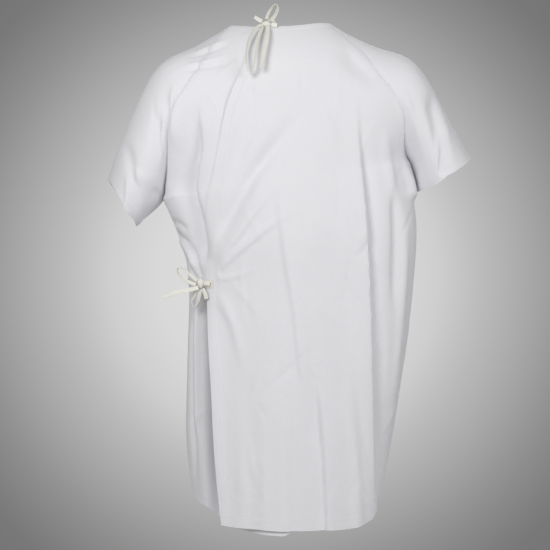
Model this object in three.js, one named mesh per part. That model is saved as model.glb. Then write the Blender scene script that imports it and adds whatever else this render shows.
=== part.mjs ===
// A wrap-around patient gown with raglan sleeves, hanging as it does on a standing wearer.
// Millimetres, +Z up, -Y out of the wearer's back, where the gown wraps over and ties,
// +X towards the wearer's right hand. The origin is the middle of the neck opening.
import * as THREE from "three";

// ---- overall sizes ----
const HEM_DROP = 1062; // from the neck down to the hem at the side seams
const WAIST_WIDTH = 515; // across the body at the side tie

// ---- cloth and sewing ----
const CLOTH = 1.6; // thickness of one panel with its ease
const TURNING = 2.4; // thickness where the cloth is folded over and stitched
const GAP = 0.8; // between pieces that are sewn to each other
const SEAM_GAP = 1; // between a seam and the cloth on each side of it
const BINDING_GAP = 1; // between the neck binding and the cloth below it
const LAYER_GAP = 6; // between the middles of the two back layers where they wrap
const SEAM_WIDTH = 9;
const HEM_HEIGHT = 22;
const SLEEVE_HEM_HEIGHT = 18;
const FREE_EDGE_WIDTH = 20; // the stitched turning along the free edge of a back panel
const BINDING_HEIGHT = 9; // of the band round the neck
const TAPE_WIDTH = 9;
const TAPE_THICKNESS = 1.4;
const PATCH_SIZE = 18; // of the square that a side tie is sewn on with
const UNDERARM_EASE = 13; // how much further the panels stay apart at that point
const UNDERARM_CLEARANCE = 12; // seams stop this far short of the point where four of them meet

// ---- stations: heights numbered down the gown from the neck ----
const NECK = 0;
const UNDERARM = 3;
const SIDE_TIE = 4.95;
const FLAP_TOP = 5 + 1 / 3; // below this the outer panel's free side can swing
const HEM = 8;
const ROW_STEP = 1 / 3; // every piece has its rows at the same stations, this far apart
const SLEEVE_HEM = 4; // a sleeve's stations run along its arm, and reach the underarm at 3 as well
const FLAP_HINGE_SHARE = 0.38; // x of that free side's swing line, as a share of the waist's width

const vec = (x, y, z) => new THREE.Vector3(x, y, z);
const { lerp, clamp, smoothstep, degToRad } = THREE.MathUtils;

// ---- shape ----
// A sleeve is a tube of ellipses, one per station. A point at a turn from its top line towards the
// wearer's back is middle + up * cos(turn) + back * sin(turn), with x counted away from the neck.
const SLEEVES = {
  right: {
    side: 1,
    middle: [vec(93, 6, -90), vec(190, 4, -140), vec(274, 4, -166), vec(336, 4, -257), vec(376, 5, -333)],
    up: [vec(20, 2, 100), vec(26, 4, 96), vec(34, 4, 85), vec(49, 4, 52), vec(61, 5, 38)],
    back: [vec(0, -95, 0), vec(0, -105, 0), vec(0, -108, 0), vec(0, -104, 0), vec(0, -95, -8)],
  },
  left: {
    side: -1,
    middle: [vec(95, 6, -96), vec(163, 4, -133), vec(246, 4, -188), vec(309, 5, -315), vec(361, 8, -400)],
    up: [vec(22, 2, 98), vec(23, 4, 96), vec(32, 4, 93), vec(43, 5, 75), vec(33, 8, 52)],
    back: [vec(0, -95, 0), vec(0, -105, 0), vec(0, -110, 5), vec(-4, -106, 4), vec(-5, -92, -4)],
  },
};
// Turn of the raglan seams from the sleeve's top line, in degrees, at stations 0 to 3.
const RAGLAN_TURN = { back: [14, 62, 110, 180], front: [26, 66, 112, 180] };
// The side seams at stations 4 to 8: x as a share of the waist's width, y, and the share of the
// drop to the hem.
const SIDE_SEAM_SHARES = {
  right: [[0.606, 8, 0.414], [0.594, 15, 0.551], [0.557, 25, 0.702], [0.501, 35, 0.862], [0.45, 45, 1]],
  left: [[-0.437, 5, 0.461], [-0.406, 10, 0.551], [-0.41, 15, 0.716], [-0.412, 25, 0.876], [-0.384, 40, 1]],
};
// Rows of the body at stations 0 to 8: depth is y in the middle of the row, droop is how far the
// middle hangs below the ends, and round is the fullness of the row, 1 for an ellipse.
const BODY = {
  back: {
    depth: [-75, -125, -140, -152, -158, -155, -160, -170, -185],
    droop: [-10, 0, -5, -5, -5, -8, -15, -30, -43],
    round: [1, 1.3, 1.2, 0.9, 0.8, 0.8, 0.8, 0.8, 0.8],
  },
  front: {
    depth: [85, 118, 135, 145, 150, 142, 146, 155, 166],
    droop: [-62, -50, -28, -8, -5, -5, -8, -12, -18],
    round: [1, 1.2, 1.2, 0.9, 0.85, 0.85, 0.85, 0.85, 0.85],
  },
};
// x of each back panel's free edge at stations 0 to 8, as a share of the waist's width.
const OUTER_EDGE_SHARES = [-0.083, -0.151, -0.243, -0.307, -0.317, -0.317, -0.297, -0.28, -0.252];
const INNER_EDGE_SHARES = [-0.012, 0.066, 0.151, 0.202, 0.21, 0.21, 0.202, 0.194, 0.186];

// ---- ties: [right, up, out, twist] from the middle of the knot ----
// A twist of 0 lays the tape flat on the back, 90 stands it on its edge.
const NECK_KNOT = { x: -33, up: 2, out: 9.4, radii: [11, 6, 6.5] };
const NECK_BOW = {
  neck_tie_outer: [[24, -3, 1.5, 0], [18, -2, 1.5, 5], [11.6, -1, 1, 10]],
  neck_tie_inner: [[18, 3, -18, 0], [15, 9, -12, 0], [9, 12, -4, 10], [4, 8.8, 0, 10]],
  neck_loop_small: [
    [1, 10.5, 4, 40], [6, 24, 6, 50], [16, 38, 7, 75], [24, 42, 8, 95],
    [26, 32, 9, 120], [20, 18, 9, 130], [11, 7, 7, 140],
  ],
  neck_tail_short: [[-9.5, 6, 0.5, 10], [-18, 10, 3, 20], [-26, 15, 5, 30]],
  neck_loop_long: [
    [-9.8, -2.5, 3.2, 30], [-24, -14, 5, 40], [-38, -42, 5, 55], [-44, -84, 5, 70],
    [-37, -119, 7, 95], [-27, -102, 9, 120], [-22, -56, 9, 135], [-9, -8, 6, 145],
  ],
  neck_tail_long: [[4, -6.4, 3, 15], [2, -36, 6, 25], [-6, -74, 10, 35], [-13, -110, 13, 50]],
};
const SIDE_KNOT = { right: -14, up: 0, out: 10, radii: [8, 8, 11] };
const SIDE_BOW = {
  side_tie_outer: [[21, -1, 6, 0], [15, 0, 4.5, 0], [8.4, 0, 2, 0]],
  side_loop_upper: [
    [-7.6, 6, 3, 35], [-20, 17, 5, 45], [-36, 31, 7, 65], [-48, 35, 7, 90],
    [-50, 24, 7, 115], [-36, 10, 7, 135], [-21, 1, 6, 145], [-10.5, -2, 5, 150],
  ],
  side_loop_lower: [
    [-5.5, -9, -1, 25], [-14, -25, -2, 40], [-20, -40, -1, 70], [-15, -50, 1, 95],
    [-7, -42, 3, 120], [-3, -27, 3, 140], [-1, -14, 2, 150],
  ],
  side_tail_long: [[-5, -9, 7, 10], [-28, -15, 15, 20], [-55, -20, 16, 30], [-80, -30, 16, 40]],
  side_tail_short: [[4, -11.5, 1.5, 10], [10, -22, 2, 15], [13, -34, 3, 25]],
};
const PATCH_LIFT = { outer: 2.3, seam: 2.4 }; // of each patch's middle off the cloth below it
// The tie from the left side seam lies on the inner panel and goes in behind the knot.
const SEAM_TIE = { start: 10, lift: 4.4, end: [-6.4, 0, -6] };

const cotton = new THREE.MeshStandardMaterial({ color: 0xe4e3e8, roughness: 0.9, metalness: 0 });
const stitched = new THREE.MeshStandardMaterial({ color: 0xdfdee4, roughness: 0.9, metalness: 0 });
const tapeCotton = new THREE.MeshStandardMaterial({ color: 0xe9e7dc, roughness: 0.85, metalness: 0 });

// ---- interpolation ----
const spread = (a, b, steps) => Array.from({ length: steps + 1 }, (_, k) => lerp(a, b, k / steps));

// A smooth curve through evenly spaced keys, which are numbers or vectors.
function through(keys, at) {
  if (keys[0].isVector3) {
    const along = (axis) => through(keys.map((p) => p[axis]), at);
    return vec(along("x"), along("y"), along("z"));
  }
  const last = keys.length - 1;
  const i = clamp(Math.floor(at), 0, last - 1);
  const f = at - i;
  const [a, b, c, d] = [i - 1, i, i + 1, i + 2].map((j) => keys[clamp(j, 0, last)]);
  const bend = 2 * a - 5 * b + 4 * c - d;
  const twist = 3 * b - a - 3 * c + d;
  return 0.5 * (2 * b + (c - a) * f + bend * f ** 2 + twist * f ** 3);
}

// ---- the surface of the gown ----
const onSleeve = (hand) => (station, turn) => {
  const { side, middle, up, back } = SLEEVES[hand];
  const p = through(middle, station)
    .addScaledVector(through(up, station), Math.cos(turn))
    .addScaledVector(through(back, station), Math.sin(turn));
  return p.setX(side * p.x);
};

function raglanTurn(half, station) {
  const turn = degToRad(through(RAGLAN_TURN[half], Math.min(station, UNDERARM)));
  return half === "back" ? turn : -turn;
}

const sideSeam = (hand) =>
  SIDE_SEAM_SHARES[hand].map(([x, y, drop]) => vec(x * WAIST_WIDTH, y, -drop * HEM_DROP));

// A row of the body ends on the raglan seam above the underarm and on the side seam below it.
function rowEnd(half, hand, station) {
  if (station <= UNDERARM) return onSleeve(hand)(station, raglanTurn(half, station));
  return through([onSleeve(hand)(UNDERARM, Math.PI), ...sideSeam(hand)], station - UNDERARM);
}

// A row runs from the left end at -90 degrees to the right end at +90 degrees.
const onBody = (half) => (station, angle) => {
  const left = rowEnd(half, "left", station);
  const right = rowEnd(half, "right", station);
  const { depth, droop, round } = BODY[half];
  const open = Math.max(0, Math.cos(angle));
  const bulge = through(depth, station) - (left.y + right.y) / 2;
  const p = left.lerp(right, (1 + Math.sin(angle)) / 2);
  p.y += bulge * open ** through(round, station);
  p.z += through(droop, station) * open ** 2;
  return p;
};
const onBack = onBody("back");
const onFront = onBody("front");

// The inner back panel lies under the outer one, and comes up to the seams at its left side.
const onInnerBack = (station, angle) => {
  const p = onBack(station, angle);
  const fullGap = Math.min(degToRad(-50), outerEdge(station) - degToRad(3));
  return p.setY(p.y + LAYER_GAP * smoothstep(angle, degToRad(-80), fullGap));
};

// ---- measuring on the surface ----
const LEFT_END = -Math.PI / 2;
const RIGHT_END = Math.PI / 2;

function angleAtX(station, x) {
  const left = rowEnd("back", "left", station).x;
  const right = rowEnd("back", "right", station).x;
  return Math.asin(clamp((2 * x - left - right) / (right - left), -1, 1));
}

// The station at a distance down the surface from another station, at one angle.
function down(pointAt, station, angle, distance) {
  const step = 0.01;
  const ahead = pointAt(station + step * Math.sign(distance), angle);
  const pace = ahead.distanceTo(pointAt(station, angle)) / step;
  return station + distance / pace;
}

// The angle at a distance across the surface from another angle, at one station.
function across(pointAt, station, angle, distance) {
  const step = 0.004 * Math.sign(distance);
  let travelled = 0;
  let here = pointAt(station, angle);
  while (travelled < Math.abs(distance)) {
    const next = pointAt(station, angle + step);
    const stride = next.distanceTo(here);
    const left = Math.abs(distance) - travelled;
    if (stride > left) return angle + (step * left) / stride;
    travelled += stride;
    angle += step;
    here = next;
  }
  return angle;
}

// ---- solids ----
function closedMesh(name, points, index, material) {
  const geometry = new THREE.BufferGeometry().setFromPoints(points);
  geometry.setIndex(index);
  geometry.computeVertexNormals();
  const mesh = new THREE.Mesh(geometry, material.clone());
  mesh.name = name;
  return mesh;
}

// A closed sheet of even thickness whose middle is a grid of points; cells can be left out.
function sheet(name, grid, thickness, material, isCut = () => false) {
  const rows = grid.length - 1;
  const columns = grid[0].length - 1;
  const at = (i, j) => grid[clamp(i, 0, rows)][clamp(j, 0, columns)];
  const kept = (i, j) => i >= 0 && j >= 0 && i < rows && j < columns && !isCut(i, j);
  const points = [];
  const index = [];
  const numbers = new Map();
  const corner = (face, i, j) => {
    const key = `${face} ${i} ${j}`;
    if (!numbers.has(key)) {
      const lengthwise = at(i + 1, j).clone().sub(at(i - 1, j));
      const crosswise = at(i, j + 1).clone().sub(at(i, j - 1));
      const normal = lengthwise.cross(crosswise).normalize();
      numbers.set(key, points.push(at(i, j).clone().addScaledVector(normal, (face * thickness) / 2)) - 1);
    }
    return numbers.get(key);
  };
  const quad = (a, b, c, d) => index.push(a, b, c, a, c, d);
  for (let i = 0; i < rows; i++)
    for (let j = 0; j < columns; j++) {
      if (!kept(i, j)) continue;
      const round = [[i, j], [i + 1, j], [i + 1, j + 1], [i, j + 1]];
      const beyond = [[i, j - 1], [i + 1, j], [i, j + 1], [i - 1, j]];
      quad(...round.map((c) => corner(1, ...c)));
      quad(...round.map((c) => corner(-1, ...c)).reverse());
      round.forEach((c, k) => {
        const next = round[(k + 1) % 4];
        if (kept(...beyond[k])) return;
        quad(corner(1, ...next), corner(1, ...c), corner(-1, ...c), corner(-1, ...next));
      });
    }
  return closedMesh(name, points, index, material);
}

// The stations of the rows between two ends; the ends themselves come from functions of the angle.
function rowLevels(top, bottom, angle) {
  const margin = ROW_STEP / 3;
  const isBetween = (s) => s > top(angle) + margin && s < bottom(angle) - margin;
  const between = spread(0, HEM, HEM / ROW_STEP).filter(isBetween);
  return [top, ...between.map((s) => () => s), bottom];
}

// A patch of a surface, between a top and a bottom station that depend on the angle, and between
// side angles that depend on the station, with the same number of columns in each strip.
function patchGrid(pointAt, columns, [top, bottom], sides) {
  const strips = sides.length - 1;
  return rowLevels(top, bottom, 0).map((level) =>
    spread(0, strips, columns * strips).map((u) => {
      const k = Math.min(Math.floor(u), strips - 1);
      let station = level(0);
      let angle = 0;
      for (let pass = 0; pass < 4; pass++) {
        angle = lerp(sides[k](station), sides[k + 1](station), u - k);
        station = level(angle);
      }
      return pointAt(station, angle);
    }),
  );
}
const patch = (name, pointAt, columns, ends, sides, thickness = CLOTH, material = cotton) =>
  sheet(name, patchGrid(pointAt, columns, ends, sides), thickness, material);

// ---- edges that the patches share ----
const level = (station) => () => station;
const underBinding = (pointAt) => (angle) => down(pointAt, NECK, angle, BINDING_HEIGHT + BINDING_GAP);
const aboveHem = (pointAt, height) => (angle) => down(pointAt, HEM, angle, -height);
const hemTop = (pointAt) => aboveHem(pointAt, HEM_HEIGHT);
const hemPanelEnd = (pointAt) => aboveHem(pointAt, HEM_HEIGHT + GAP);
function besideSeam(station) {
  const ease = UNDERARM_EASE * smoothstep(1 - Math.abs(station - UNDERARM), 0, 1);
  return SEAM_WIDTH / 2 + SEAM_GAP + ease;
}
const leftSide = (pointAt) => (station) => across(pointAt, station, LEFT_END, besideSeam(station));
const rightSide = (pointAt) => (station) => across(pointAt, station, RIGHT_END, -besideSeam(station));

const outerEdge = (station) => angleAtX(station, WAIST_WIDTH * through(OUTER_EDGE_SHARES, station));
const innerEdge = (station) => angleAtX(station, WAIST_WIDTH * through(INNER_EDGE_SHARES, station));
const insideOuterEdge = (inset) => (station) => across(onBack, station, outerEdge(station), inset);
const insideInnerEdge = (inset) => (station) => across(onBack, station, innerEdge(station), -inset);
const flapHinge = (inset) => (station) => {
  const line = angleAtX(station, WAIST_WIDTH * FLAP_HINGE_SHARE);
  return across(onBack, station, station < FLAP_TOP ? Math.min(line, degToRad(45)) : line, -inset);
};
const flapTop = level(FLAP_TOP);
const flapStart = (angle) => down(onBack, FLAP_TOP, angle, GAP);
const hem = level(HEM);

// ---- the body ----
const FRONT_SIDES = [leftSide(onFront), rightSide(onFront)];
const FRONT_ENDS = [underBinding(onFront), hemPanelEnd(onFront)];
const INNER_ENDS = [underBinding(onInnerBack), hemPanelEnd(onInnerBack)];
const OUTER_COLUMNS = 6; // on each side of the swing line

// The outer panel is cut along the swing line and along the top of its free side.
function outerPanelGrid() {
  const sides = [insideOuterEdge(FREE_EDGE_WIDTH + GAP), flapHinge(0), rightSide(onBack)];
  const upper = patchGrid(onBack, OUTER_COLUMNS, [underBinding(onBack), flapTop], sides);
  const lower = patchGrid(onBack, OUTER_COLUMNS, [flapTop, hemPanelEnd(onBack)], sides);
  const inFreeSide = (row, column) => row >= upper.length - 1 && column < OUTER_COLUMNS;
  return [[...upper, ...lower.slice(1)], inFreeSide];
}
const [outerGrid, inFreeSide] = outerPanelGrid();

const INNER_SIDES = [leftSide(onInnerBack), insideInnerEdge(FREE_EDGE_WIDTH + GAP)];
const INNER_HEM_SIDES = [leftSide(onInnerBack), innerEdge];
const INNER_EDGE_SIDES = [insideInnerEdge(FREE_EDGE_WIDTH), innerEdge];
const OUTER_EDGE_SIDES = [outerEdge, insideOuterEdge(FREE_EDGE_WIDTH)];
const FLAP_SIDES = [insideOuterEdge(FREE_EDGE_WIDTH + GAP), flapHinge(GAP)];
const BACK_HEM_SIDES = [flapHinge(0), rightSide(onBack)];
// A hem or a free edge: the same kind of patch, of the folded and stitched thickness.
const turning = (name, pointAt, columns, ends, sides) =>
  patch(name, pointAt, columns, ends, sides, TURNING, stitched);

const body = [
  patch("front_panel", onFront, 14, FRONT_ENDS, FRONT_SIDES),
  turning("front_hem", onFront, 14, [hemTop(onFront), hem], FRONT_SIDES),
  patch("inner_back_panel", onInnerBack, 10, INNER_ENDS, INNER_SIDES),
  turning("inner_back_hem", onInnerBack, 10, [hemTop(onInnerBack), hem], INNER_HEM_SIDES),
  turning("inner_free_edge", onInnerBack, 1, INNER_ENDS, INNER_EDGE_SIDES),
  sheet("outer_back_panel", outerGrid, CLOTH, cotton, inFreeSide),
  turning("outer_back_hem", onBack, 6, [hemTop(onBack), hem], BACK_HEM_SIDES),
  turning("outer_free_edge_upper", onBack, 1, [underBinding(onBack), flapTop], OUTER_EDGE_SIDES),
  patch("flap_panel", onBack, 8, [flapStart, hemPanelEnd(onBack)], FLAP_SIDES),
  turning("flap_hem", onBack, 8, [hemTop(onBack), hem], FLAP_SIDES),
  turning("flap_free_edge", onBack, 1, [flapStart, hem], OUTER_EDGE_SIDES),
];

// ---- sleeves: a fixed cap over the shoulder, and the part that lifts with the arm ----
const sleeveSide = (hand, half) => (station) => {
  const inward = half === "back" ? -1 : 1;
  return across(onSleeve(hand), station, raglanTurn(half, station), inward * besideSeam(station));
};
const ARMHOLE_GAP = 0.012; // stations between the cap and the part that lifts
const sleeves = ["left", "right"].flatMap((hand) => {
  const surface = onSleeve(hand);
  const sides = [sleeveSide(hand, "front"), sleeveSide(hand, "back")];
  const hemStart = (height) => (turn) => down(surface, SLEEVE_HEM, turn, -height);
  const capEnds = [underBinding(surface), level(UNDERARM)];
  const armEnds = [level(UNDERARM + ARMHOLE_GAP), hemStart(SLEEVE_HEM_HEIGHT + GAP / 2)];
  const hemEnds = [hemStart(SLEEVE_HEM_HEIGHT), level(SLEEVE_HEM)];
  return [
    patch(`${hand}_sleeve_cap`, surface, 18, capEnds, sides),
    patch(`${hand}_sleeve`, surface, 22, armEnds, sides),
    turning(`${hand}_sleeve_hem`, surface, 22, hemEnds, sides),
  ];
});

// ---- seams ----
// A seam strip runs down between two surfaces that meet on it. Each side of it is a surface, the
// angle of the seam on that surface at each station, and 1 or -1 for the way in from the seam.
function seamStrip(name, sides, top, bottom) {
  const [a, b] = sides.map(({ surface, seam, inward }) => ({
    onSeam: (station) => surface(station, seam(station)),
    beside: (station) =>
      surface(station, across(surface, station, seam(station), (inward * SEAM_WIDTH) / 2)),
  }));
  const rows = rowLevels(() => top, () => bottom, 0).map((level) => level());
  const grid = rows.map((station) => [a.beside(station), a.onSeam(station), b.beside(station)]);
  return sheet(name, grid, TURNING, stitched);
}
const seams = ["left", "right"].flatMap((hand) => {
  const end = hand === "left" ? LEFT_END : RIGHT_END;
  const inward = hand === "left" ? 1 : -1;
  const sleeve = onSleeve(hand);
  const back = hand === "left" ? onInnerBack : onBack;
  const bodySide = (surface) => ({ surface, seam: () => end, inward });
  const sleeveSeam = (turn, way) => ({ surface: sleeve, seam: () => turn, inward: way });
  const raglan = (half, surface, way) => {
    const sleevePart = { surface: sleeve, seam: (station) => raglanTurn(half, station), inward: way };
    const top = down(surface, NECK, end, BINDING_HEIGHT + 3 * BINDING_GAP);
    const bottom = down(surface, UNDERARM, end, -2 * UNDERARM_CLEARANCE);
    return seamStrip(`${hand}_${half}_raglan_seam`, [bodySide(surface), sleevePart], top, bottom);
  };
  const sideTop = down(onFront, UNDERARM, end, UNDERARM_CLEARANCE);
  const armTop = down(sleeve, UNDERARM, Math.PI, UNDERARM_CLEARANCE);
  const armSides = [sleeveSeam(-Math.PI, 1), sleeveSeam(Math.PI, -1)];
  return [
    raglan("back", back, -1),
    raglan("front", onFront, 1),
    seamStrip(`${hand}_side_seam`, [bodySide(onFront), bodySide(back)], sideTop, HEM),
    seamStrip(`${hand}_underarm_seam`, armSides, armTop, SLEEVE_HEM),
  ];
});

// ---- the neck binding: one band round the neck, its two ends crossed where the back wraps ----
function neckBinding() {
  const runs = [
    [onBack, outerEdge(NECK), RIGHT_END, 10],
    [onSleeve("right"), raglanTurn("back", NECK), raglanTurn("front", NECK), 3],
    [onFront, RIGHT_END, LEFT_END, 18],
    [onSleeve("left"), raglanTurn("front", NECK), raglanTurn("back", NECK), 3],
    [onInnerBack, LEFT_END, innerEdge(NECK), 10],
  ];
  const column = (pointAt, angle) => [
    pointAt(NECK, angle),
    pointAt(down(pointAt, NECK, angle, BINDING_HEIGHT), angle),
  ];
  const columns = runs.flatMap(([pointAt, from, to, steps], k) =>
    spread(from, to, steps)
      .slice(k ? 1 : 0)
      .map((angle) => column(pointAt, angle)),
  );
  return sheet("neck_binding", [columns.map((c) => c[0]), columns.map((c) => c[1])], TURNING, stitched);
}

// ---- ties ----
const onEdge = (station, right, up, out) => {
  const p = onBack(station, outerEdge(station));
  return vec(p.x + right, p.y - out, p.z + up);
};
const neckKnot = (() => {
  const p = onBack(NECK, angleAtX(NECK, NECK_KNOT.x));
  return vec(p.x, p.y - NECK_KNOT.out, p.z + NECK_KNOT.up);
})();
const sideKnot = onEdge(SIDE_TIE, SIDE_KNOT.right, SIDE_KNOT.up, SIDE_KNOT.out);

const fromKnot = (knot, keys) =>
  keys.map(([right, up, out, twist]) => ({
    at: vec(knot.x + right, knot.y - out, knot.z + up),
    twist,
  }));

// The back slopes outwards below the neck, so what hangs from the neck knot is carried out with it.
const STRAIGHT_DROP = 12; // what hangs no lower than this stays as it is
function slopeOut(drop) {
  if (drop <= STRAIGHT_DROP) return 0;
  const below = (station) => onBack(station, angleAtX(station, NECK_KNOT.x));
  const top = below(NECK);
  let station = NECK;
  while (top.z - below(station).z < drop) station += 0.01;
  return top.y - below(station).y;
}
const overShoulders = (knot, keys) =>
  fromKnot(knot, keys.map(([right, up, out, twist]) => [right, up, out + slopeOut(-up), twist]));

function tape(name, keys, steps = 4 * (keys.length - 1)) {
  const curve = new THREE.CatmullRomCurve3(keys.map((k) => k.at), false, "centripetal");
  const twists = keys.map((k) => degToRad(k.twist));
  const rows = spread(0, 1, steps).map((t) => {
    const middle = curve.getPoint(t);
    const along = curve.getTangent(t);
    const flat = vec(0, -1, 0).cross(along).normalize();
    const raised = along.clone().cross(flat);
    const twist = through(twists, t * (keys.length - 1));
    const width = flat.multiplyScalar(Math.cos(twist)).addScaledVector(raised, Math.sin(twist));
    return [-0.5, 0.5].map((side) => middle.clone().addScaledVector(width, side * TAPE_WIDTH));
  });
  return sheet(name, rows, TAPE_THICKNESS, tapeCotton);
}

function knotBody(name, centre, radii) {
  const geometry = new THREE.SphereGeometry(1, 14, 9).scale(...radii);
  geometry.translate(centre.x, centre.y, centre.z);
  const mesh = new THREE.Mesh(geometry, tapeCotton.clone());
  mesh.name = name;
  return mesh;
}

// A point held off a surface along its outward normal.
function liftedFrom(pointAt, station, angle, lift) {
  const p = pointAt(station, angle);
  const lengthwise = pointAt(station + 0.01, angle).sub(p);
  const crosswise = pointAt(station, angle + 0.01).sub(p);
  return p.addScaledVector(lengthwise.cross(crosswise).normalize(), lift);
}

// A square patch lying on a surface, raised clear of the turning below it.
function tiePatch(name, pointAt, station, angle, inset, lift) {
  const half = PATCH_SIZE / 2;
  const middle = across(pointAt, station, angle, inset);
  const ends = [down(pointAt, station, middle, -half), down(pointAt, station, middle, half)];
  const sides = [across(pointAt, station, middle, -half), across(pointAt, station, middle, half)];
  const row = (s) => spread(...sides, 3).map((angle) => liftedFrom(pointAt, s, angle, lift));
  const grid = spread(...ends, 3).map(row);
  return sheet(name, grid, TAPE_THICKNESS, tapeCotton);
}

function seamTieGrid() {
  const from = across(onInnerBack, SIDE_TIE, LEFT_END, SEAM_TIE.start);
  const to = angleAtX(SIDE_TIE, sideKnot.x + 2 * SEAM_TIE.end[0]);
  const onPanel = (angle) => liftedFrom(onInnerBack, SIDE_TIE, angle, SEAM_TIE.lift);
  const middle = spread(from, to, 8).map(onPanel);
  const [right, up, out] = SEAM_TIE.end;
  middle.push(vec(sideKnot.x + right, sideKnot.y - out, sideKnot.z + up));
  return middle.map((p) => [-0.5, 0.5].map((side) => vec(p.x, p.y, p.z + side * TAPE_WIDTH)));
}

const OUTER_PATCH_INSET = FREE_EDGE_WIDTH / 2 + 1; // of the patch's middle from the free edge
const SEAM_PATCH_INSET = PATCH_SIZE / 2 + 6; // of the patch's middle from the side seam
const ties = [
  knotBody("neck_knot", neckKnot, NECK_KNOT.radii),
  ...Object.entries(NECK_BOW).map(([name, keys]) => tape(name, overShoulders(neckKnot, keys))),
  knotBody("side_knot", sideKnot, SIDE_KNOT.radii),
  ...Object.entries(SIDE_BOW).map(([name, keys]) => tape(name, fromKnot(sideKnot, keys))),
  tiePatch("outer_tie_patch", onBack, SIDE_TIE, outerEdge(SIDE_TIE), OUTER_PATCH_INSET, PATCH_LIFT.outer),
  tiePatch("seam_tie_patch", onInnerBack, SIDE_TIE, LEFT_END, SEAM_PATCH_INSET, PATCH_LIFT.seam),
  sheet("side_tie_seam", seamTieGrid(), TAPE_THICKNESS, tapeCotton),
];

const gown = new THREE.Group();
gown.name = "patient_gown";
gown.add(...body, ...sleeves, ...seams, neckBinding(), ...ties);
export default gown;
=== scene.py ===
"""Looks of the wrap-around patient gown: woven cotton cloth with its folds, hems, stitching and tape bows.

Metres, in the frame of the CAD part: +Z up, -Y out of the wearer's back, where the gown wraps and
ties, origin in the middle of the neck opening.
"""

import math

import bpy
import numpy as np
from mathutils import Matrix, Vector


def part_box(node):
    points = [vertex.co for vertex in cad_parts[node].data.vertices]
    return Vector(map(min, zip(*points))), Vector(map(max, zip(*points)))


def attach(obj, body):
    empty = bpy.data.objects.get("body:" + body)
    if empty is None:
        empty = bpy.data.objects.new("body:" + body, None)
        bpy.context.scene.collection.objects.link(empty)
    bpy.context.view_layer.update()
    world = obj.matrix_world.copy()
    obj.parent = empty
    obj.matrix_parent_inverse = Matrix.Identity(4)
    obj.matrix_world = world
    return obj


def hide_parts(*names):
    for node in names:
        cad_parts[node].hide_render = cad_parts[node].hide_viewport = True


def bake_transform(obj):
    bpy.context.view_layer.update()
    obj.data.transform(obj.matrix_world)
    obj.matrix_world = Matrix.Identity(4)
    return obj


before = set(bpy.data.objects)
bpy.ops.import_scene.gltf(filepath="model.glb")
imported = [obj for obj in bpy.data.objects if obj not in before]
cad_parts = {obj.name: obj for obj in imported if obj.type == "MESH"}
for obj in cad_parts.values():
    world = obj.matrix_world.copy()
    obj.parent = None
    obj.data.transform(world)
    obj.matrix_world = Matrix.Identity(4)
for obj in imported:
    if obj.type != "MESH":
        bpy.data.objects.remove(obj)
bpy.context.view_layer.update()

MM = 0.001

# ---- camera ----
CAMERA_PLACE = Vector((-0.061, -3.0, -0.574))
CAMERA_AIM = Vector((-0.012, 0.0, -0.562))
CAMERA_LENS = 86.1


def make_camera():
    data = bpy.data.cameras.new("camera")
    data.lens = CAMERA_LENS
    data.sensor_width = 36.0
    camera = bpy.data.objects.new("camera", data)
    camera.location = CAMERA_PLACE
    camera.rotation_euler = (CAMERA_AIM - CAMERA_PLACE).to_track_quat("-Z", "Y").to_euler()
    bpy.context.collection.objects.link(camera)
    bpy.context.scene.camera = camera


make_camera()

# ---- the hang of the gown ----
# Stations are heights numbered down from the neck: the underarm is 3 and the hem is 8. A sleeve's
# own stations end at its hem, 4. These are the CAD part's rows, which the cloth follows.
NECK, UNDERARM, HEM, SLEEVE_HEM = 0.0, 3.0, 8.0, 4.0
SIDE_TIE = 4.95
LEFT_END, RIGHT_END = -math.pi / 2, math.pi / 2

SLEEVES = {
    "right": {
        "side": 1,
        "middle": [(93, 6, -90), (190, 4, -140), (274, 4, -166), (336, 4, -257), (376, 5, -333)],
        "up": [(20, 2, 100), (26, 4, 96), (34, 4, 85), (49, 4, 52), (61, 5, 38)],
        "back": [(0, -95, 0), (0, -105, 0), (0, -108, 0), (0, -104, 0), (0, -95, -8)],
    },
    "left": {
        "side": -1,
        "middle": [(95, 6, -96), (163, 4, -133), (246, 4, -188), (309, 5, -315), (361, 8, -400)],
        "up": [(22, 2, 98), (23, 4, 96), (32, 4, 93), (43, 5, 75), (33, 8, 52)],
        "back": [(0, -95, 0), (0, -105, 0), (0, -110, 5), (-4, -106, 4), (-5, -92, -4)],
    },
}
RAGLAN_TURN = {"back": [14, 62, 110, 180], "front": [26, 66, 112, 180]}
WAIST_WIDTH, HEM_DROP = 515, 1062
SIDE_SEAM_SHARES = {
    "right": [(0.606, 8, 0.414), (0.594, 15, 0.551), (0.557, 25, 0.702), (0.501, 35, 0.862), (0.45, 45, 1)],
    "left": [
        (-0.437, 5, 0.461), (-0.406, 10, 0.551), (-0.41, 15, 0.716), (-0.412, 25, 0.876), (-0.384, 40, 1),
    ],
}
BODY = {
    "back": {
        "depth": [-75, -125, -140, -152, -158, -155, -160, -170, -185],
        "droop": [-10, 0, -5, -5, -5, -8, -15, -30, -43],
        "round": [1, 1.3, 1.2, 0.9, 0.8, 0.8, 0.8, 0.8, 0.8],
    },
    "front": {
        "depth": [85, 118, 135, 145, 150, 142, 146, 155, 166],
        "droop": [-62, -50, -28, -8, -5, -5, -8, -12, -18],
        "round": [1, 1.2, 1.2, 0.9, 0.85, 0.85, 0.85, 0.85, 0.85],
    },
}
OUTER_EDGE_SHARES = [-0.083, -0.151, -0.243, -0.307, -0.317, -0.317, -0.297, -0.28, -0.252]
INNER_EDGE_SHARES = [-0.012, 0.066, 0.151, 0.202, 0.21, 0.21, 0.202, 0.194, 0.186]
LAYER_GAP = 6 * MM


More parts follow.
